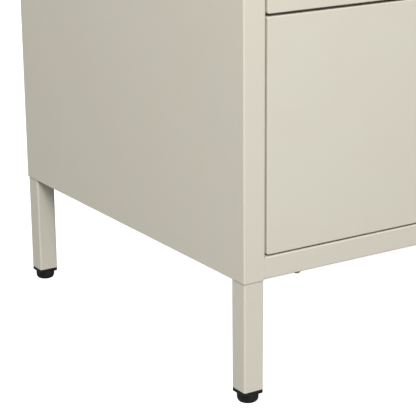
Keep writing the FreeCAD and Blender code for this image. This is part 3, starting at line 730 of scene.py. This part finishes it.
def make_foot(node, settings):
    """Round foot: flat sole with a shallow hollow, bowed edge, straight rim and a grooved stem."""
    low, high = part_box(node)
    middle = (low + high) / 2
    rim = high.x - middle.x
    rim_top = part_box(node.replace("glide", "leg_cap"))[0].z
    sole = settings.sole_radius
    clear_selection()
    bpy.ops.mesh.primitive_circle_add(
        vertices=64, radius=sole, fill_type="NGON", location=(middle.x, middle.y, low.z))
    foot = named("foot_" + node.removeprefix("glide_"))
    bpy.ops.object.transform_apply(location=True, rotation=True, scale=True)
    bpy.ops.object.mode_set(mode="EDIT")
    side = rim - settings.taper
    rings = rounded_edge(sole, low.z, side - sole, settings.bow_height, 10)
    rings += [(rim, rim_top - RIM_ROUND), (rim - RIM_ROUND_MIDDLE, rim_top - RIM_ROUND_MIDDLE),
              (rim - RIM_ROUND, rim_top), (STEM, rim_top)]
    for level in GROOVE_LEVELS:
        start = rim_top + level
        floor = start + GROOVE_SLOPE
        rings += [(STEM, start), (GROOVE, floor), (GROOVE, floor + GROOVE_FLAT),
                  (STEM, floor + GROOVE_FLAT + GROOVE_SLOPE)]
    rings += [(STEM, high.z - STEM_CHAMFER), (STEM - STEM_CHAMFER, high.z)]
    pick_faces(foot, lambda centre, normal: True)
    raise_rings(middle, rings)
    pick_faces(foot, lambda centre, normal: abs(centre.z - low.z) < TINY and abs(normal.z) > 0.9)
    bpy.ops.mesh.inset(thickness=SOLE_RING)
    bpy.ops.mesh.inset(thickness=SOLE_HOLLOW)
    bpy.ops.transform.translate(value=(0, 0, SOLE_HOLLOW))
    bpy.ops.object.mode_set(mode="OBJECT")
    settle(foot)
    return foot


class CABINET_OT_feet(bpy.types.Operator):
    """Moulds the four round feet and their stems"""
    bl_idname = "cabinet.feet"
    bl_label = "Mould Feet"

    def execute(self, context):
        settings = context.scene.cabinet_feet
        plastic = moulded_plastic(settings)
        for leg in LEGS:
            foot = make_foot("glide_" + leg, settings)
            coat(foot, plastic)
            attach(foot, "cabinet")
            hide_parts("glide_" + leg)
        return {"FINISHED"}


def make_seam(rail, settings):
    """Filler in the groove where a rail butts against the left stile, narrower at the back."""
    low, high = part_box(rail)
    edge = low.x - settings.clearance
    bend = edge - settings.width
    sunk = low.y + settings.sunk
    clear_selection()
    bpy.ops.mesh.primitive_plane_add(size=1)
    seam = named("seam_" + rail)
    seam.scale = (settings.width, high.z - low.z - SEAM_SHORTER, 1)
    seam.rotation_euler = (math.pi / 2, 0, 0)
    seam.location = ((bend + edge) / 2, sunk, (low.z + high.z) / 2)
    bpy.ops.object.transform_apply(location=True, rotation=True, scale=True)
    bpy.ops.object.mode_set(mode="EDIT")
    pick_faces(seam, lambda centre, normal: True)
    bpy.ops.mesh.extrude_region_move(TRANSFORM_OT_translate={"value": (0, SEAM_DEPTH, 0)})
    pick_edges(seam, lambda one, other: max(one.x, other.x) < bend + TINY
               and min(one.y, other.y) > sunk + SEAM_DEPTH / 2)
    bpy.ops.transform.translate(value=(SEAM_TAPER * settings.width, 0, 0))
    bpy.ops.object.mode_set(mode="OBJECT")
    settle(seam)
    return seam


class CABINET_OT_seams(bpy.types.Operator):
    """Fills the four seams between the rails and the stiles"""
    bl_idname = "cabinet.seams"
    bl_label = "Fill Seams"

    def execute(self, context):
        paint = bpy.data.materials.get("cream_powder_coat")
        if paint is None:
            raise RuntimeError("coat the cabinet before filling its seams")
        for rail in ("bottom_rail", "top_rail"):
            left = make_seam(rail, context.scene.cabinet_seams)
            right = copy_to(left, left.name + "_right", mirror=True)
            left.name = left.name + "_left"
            for seam in (left, right):
                coat(seam, paint)
                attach(seam, "cabinet")
        return {"FINISHED"}


def make_cage(name, reach, half_height, settings):
    """Ball cage about the runner's centre line: a C-shaped strip with a window for every ball.

    Its web stands at x = 0 and its flanges run reach inwards, half_height above and below.
    """
    length = settings.balls * settings.pitch
    clear_selection()
    bpy.ops.mesh.primitive_grid_add(
        x_subdivisions=1, y_subdivisions=settings.balls, size=1,
        location=(reach / 2, length / 2, half_height))
    cage = named(name)
    cage.scale = (reach, length, 1)
    bpy.ops.object.transform_apply(location=True, rotation=True, scale=True)
    bpy.ops.object.mode_set(mode="EDIT")
    bpy.ops.mesh.select_mode(type="FACE")
    bpy.ops.mesh.select_all(action="SELECT")
    window = settings.ball + WINDOW_PLAY
    bpy.ops.mesh.inset(thickness=(reach - window) / 2, use_individual=True)
    bpy.ops.mesh.inset(thickness=WINDOW_EDGE, use_individual=True)
    bpy.ops.mesh.delete(type="FACE")
    pick_edges(cage, lambda one, other: abs(one.x) < TINY and abs(other.x) < TINY)
    bpy.ops.mesh.extrude_region_move(TRANSFORM_OT_translate={"value": (0, 0, -half_height)})
    bpy.ops.object.mode_set(mode="OBJECT")
    apply_modifier(cage, "MIRROR", use_axis=(False, False, True), merge_threshold=0.01 * MM)
    apply_modifier(cage, "SOLIDIFY", thickness=settings.strip, offset=0)
    apply_modifier(cage, "BEVEL", width=CAGE_BEVEL, segments=1, limit_method="ANGLE")
    return cage


def make_balls(name, x, half_height, settings):
    """The balls of one cage: a row above and a row below the runner's centre line."""
    clear_selection()
    bpy.ops.mesh.primitive_uv_sphere_add(
        segments=10, ring_count=6, radius=settings.ball / 2,
        location=(x, settings.pitch / 2, half_height))
    balls = named(name)
    bpy.ops.object.transform_apply(location=True, rotation=True, scale=True)
    apply_modifier(balls, "ARRAY", count=settings.balls, use_relative_offset=False,
                   use_constant_offset=True, constant_offset_displace=(0, settings.pitch, 0))
    apply_modifier(balls, "MIRROR", use_axis=(False, False, True), use_mirror_merge=False)
    return balls


def runner_levels(drawer):
    """Where the ball cages of a drawer's left runner go, from the frame.

    Gives the name of each cage, the x of its web, how far its flanges reach inwards from the web
    and their height above the runner's centre line, and then the runner's front end and the
    height of its centre line.
    """
    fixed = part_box(f"runner_cabinet_{drawer}_left")
    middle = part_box(f"runner_middle_{drawer}_left")
    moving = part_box(f"runner_drawer_{drawer}_left")
    centre = (fixed[0].z + fixed[1].z) / 2
    outer_web = (fixed[0].x + RUNNER_STEEL + middle[0].x) / 2
    inner_web = middle[0].x + RUNNER_STEEL + CAGE_TO_WEB
    outer_height = (fixed[1].z - RUNNER_STEEL + middle[1].z) / 2 - centre
    inner_height = (middle[1].z - RUNNER_STEEL + moving[1].z) / 2 - centre
    cages = (("outer", outer_web, fixed[1].x - CAGE_TO_LIP - outer_web, outer_height),
             ("inner", inner_web, middle[1].x - CAGE_TO_LIP - inner_web, inner_height))
    return cages, fixed[0].y, centre


class CABINET_OT_runner_balls(bpy.types.Operator):
    """Fills the drawer runners with their balls and ball cages"""
    bl_idname = "cabinet.runner_balls"
    bl_label = "Fill Runners"

    def execute(self, context):
        settings = context.scene.cabinet_runners
        strip = plated_steel("cage_zinc", (0.55, 0.55, 0.53), (0.46, 0.47, 0.46), 0.34,
                             (1.0, 0.05, 1.0), 5 * MM)
        polished = plated_steel("ball_steel", (0.66, 0.66, 0.67), (0.60, 0.60, 0.62), 0.14,
                                NO_STRETCH, 2 * MM)
        patterns = {}
        for name, _, reach, height in runner_levels("lower")[0]:
            patterns[name] = (make_cage("cage_" + name, reach, height, settings),
                              make_balls("balls_" + name, reach / 2, height, settings))
        for runner in RUNNERS:
            drawer, side = runner.split("_")
            cages, front, centre = runner_levels(drawer)
            for name, web, _, _ in cages:
                x = web if side == "left" else -web
                place = (x, front + settings.start, centre)
                rider = "cabinet" if name == "outer" else "runner_middle_" + runner
                for pattern, material in zip(patterns[name], (strip, polished)):
                    piece = copy_to(pattern, f"{pattern.name}_{runner}", place,
                                    mirror=side == "right", angle=60)
                    coat(piece, material)
                    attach(piece, rider)
        for pair in patterns.values():
            for pattern in pair:
                bpy.data.objects.remove(pattern)
        return {"FINISHED"}


def aim(thing, target):
    """Turns a lamp at its place towards the target."""
    direction = Vector(target) - thing.location
    thing.rotation_euler = direction.to_track_quat("-Z", "Y").to_euler()


def softbox(name, place, size, colour, power):
    """Soft rectangular light that faces the middle of the cabinet."""
    clear_selection()
    bpy.ops.object.light_add(type="AREA", location=place)
    lamp = bpy.context.active_object
    lamp.name = name
    lamp.data.shape = "RECTANGLE"
    lamp.data.size, lamp.data.size_y = size
    lamp.data.energy = power
    lamp.data.color = colour
    aim(lamp, LIT_POINT)


def white_room(strength):
    """Even light all round, from a room that looks plain white."""
    world = bpy.data.worlds.new("white_room")
    world.use_nodes = True
    tree = world.node_tree
    seen = add_node(tree, "ShaderNodeBackground")
    seen.inputs["Color"].default_value = (1, 1, 1, 1)
    lit = tree.nodes["Background"]
    lit.inputs["Color"].default_value = opaque(ROOM_LIGHT)
    lit.inputs["Strength"].default_value = strength
    mixed_by_ray(tree, lit, seen, tree.nodes["World Output"])
    bpy.context.scene.world = world


def white_floor(bounce):
    """Plain pale floor with a faint shadow under the feet, that lights them back only so much."""
    clear_selection()
    bpy.ops.mesh.primitive_plane_add(size=FLOOR_SIZE, location=(0, 0, 0))
    floor = named("studio_floor")
    material, tree, shader, _ = new_material("studio_white")
    shader.inputs["Base Color"].default_value = opaque([FLOOR_SHADE] * 3)
    shader.inputs["Roughness"].default_value = 1.0
    shader.inputs["Specular IOR Level"].default_value = 0.0
    glow = add_node(tree, "ShaderNodeEmission")
    glow.inputs["Strength"].default_value = FLOOR_GLOW
    both = add_node(tree, "ShaderNodeAddShader")
    matt = add_node(tree, "ShaderNodeBsdfDiffuse")
    matt.inputs["Color"].default_value = opaque([bounce] * 3)
    tree.links.new(shader.outputs[0], both.inputs[0])
    tree.links.new(glow.outputs[0], both.inputs[1])
    mixed_by_ray(tree, matt, both, tree.nodes["Material Output"])
    coat(floor, material)


def add_camera(settings):
    """Camera turned first by its roll, then its pitch, then its yaw."""
    clear_selection()
    bpy.ops.object.camera_add(location=settings.camera_place)
    camera = bpy.context.active_object
    camera.name = "studio_camera"
    turn = (Matrix.Rotation(-settings.yaw, 4, "Z")
            @ Matrix.Rotation(math.pi / 2 - settings.pitch, 4, "X")
            @ Matrix.Rotation(-settings.roll, 4, "Z"))
    camera.rotation_euler = turn.to_euler()
    camera.data.sensor_width = 36
    camera.data.lens = settings.lens
    camera.data.clip_start, camera.data.clip_end = 0.05, 60
    bpy.context.scene.camera = camera


class CABINET_OT_studio(bpy.types.Operator):
    """Sets up the floor, the soft lights and the camera"""
    bl_idname = "cabinet.studio"
    bl_label = "Set Up Studio"

    def execute(self, context):
        settings = context.scene.cabinet_studio
        white_floor(settings.bounce)
        white_room(settings.sky)
        for name, place, size, colour, power in SOFTBOXES:
            softbox(name, place, size, colour, getattr(settings, power))
        add_camera(settings)
        context.scene.view_settings.view_transform = "Standard"
        return {"FINISHED"}


# ---- panel and registration -----------------------------------------------------------------------
STEPS = (CABINET_OT_powder_coat, CABINET_OT_plating, CABINET_OT_lock_finish,
         CABINET_OT_seams, CABINET_OT_leg_caps, CABINET_OT_feet, CABINET_OT_runner_balls,
         CABINET_OT_studio)
SETTINGS = (("cabinet_paint", PaintSettings), ("cabinet_feet", FootSettings),
            ("cabinet_runners", RunnerSettings), ("cabinet_seams", SeamSettings),
            ("cabinet_studio", StudioSettings))


class CABINET_PT_finisher(bpy.types.Panel):
    """Lists the sizes, colours and steps"""
    bl_idname = "CABINET_PT_finisher"
    bl_label = "Filing Cabinet"
    bl_space_type = "VIEW_3D"
    bl_region_type = "UI"
    bl_category = "Cabinet"

    def draw(self, context):
        for attribute, group in SETTINGS:
            box = self.layout.box()
            box.label(text=group.__doc__)
            for name in group.__annotations__:
                box.prop(getattr(context.scene, attribute), name)
        for step in STEPS:
            self.layout.operator(step.bl_idname)


CLASSES = (*(group for _, group in SETTINGS), *STEPS, CABINET_PT_finisher)


def register():
    for each in CLASSES:
        bpy.utils.register_class(each)
    for attribute, group in SETTINGS:
        setattr(bpy.types.Scene, attribute, bpy.props.PointerProperty(type=group))


def unregister():
    for attribute, _ in SETTINGS:
        delattr(bpy.types.Scene, attribute)
    for each in reversed(CLASSES):
        bpy.utils.unregister_class(each)


def main():
    register()
    bpy.ops.cabinet.powder_coat()
    bpy.ops.cabinet.plating()
    bpy.ops.cabinet.lock_finish()
    bpy.ops.cabinet.seams()
    bpy.ops.cabinet.leg_caps()
    bpy.ops.cabinet.feet()
    bpy.ops.cabinet.runner_balls()
    bpy.ops.cabinet.studio()


if __name__ == "__main__":
    main()
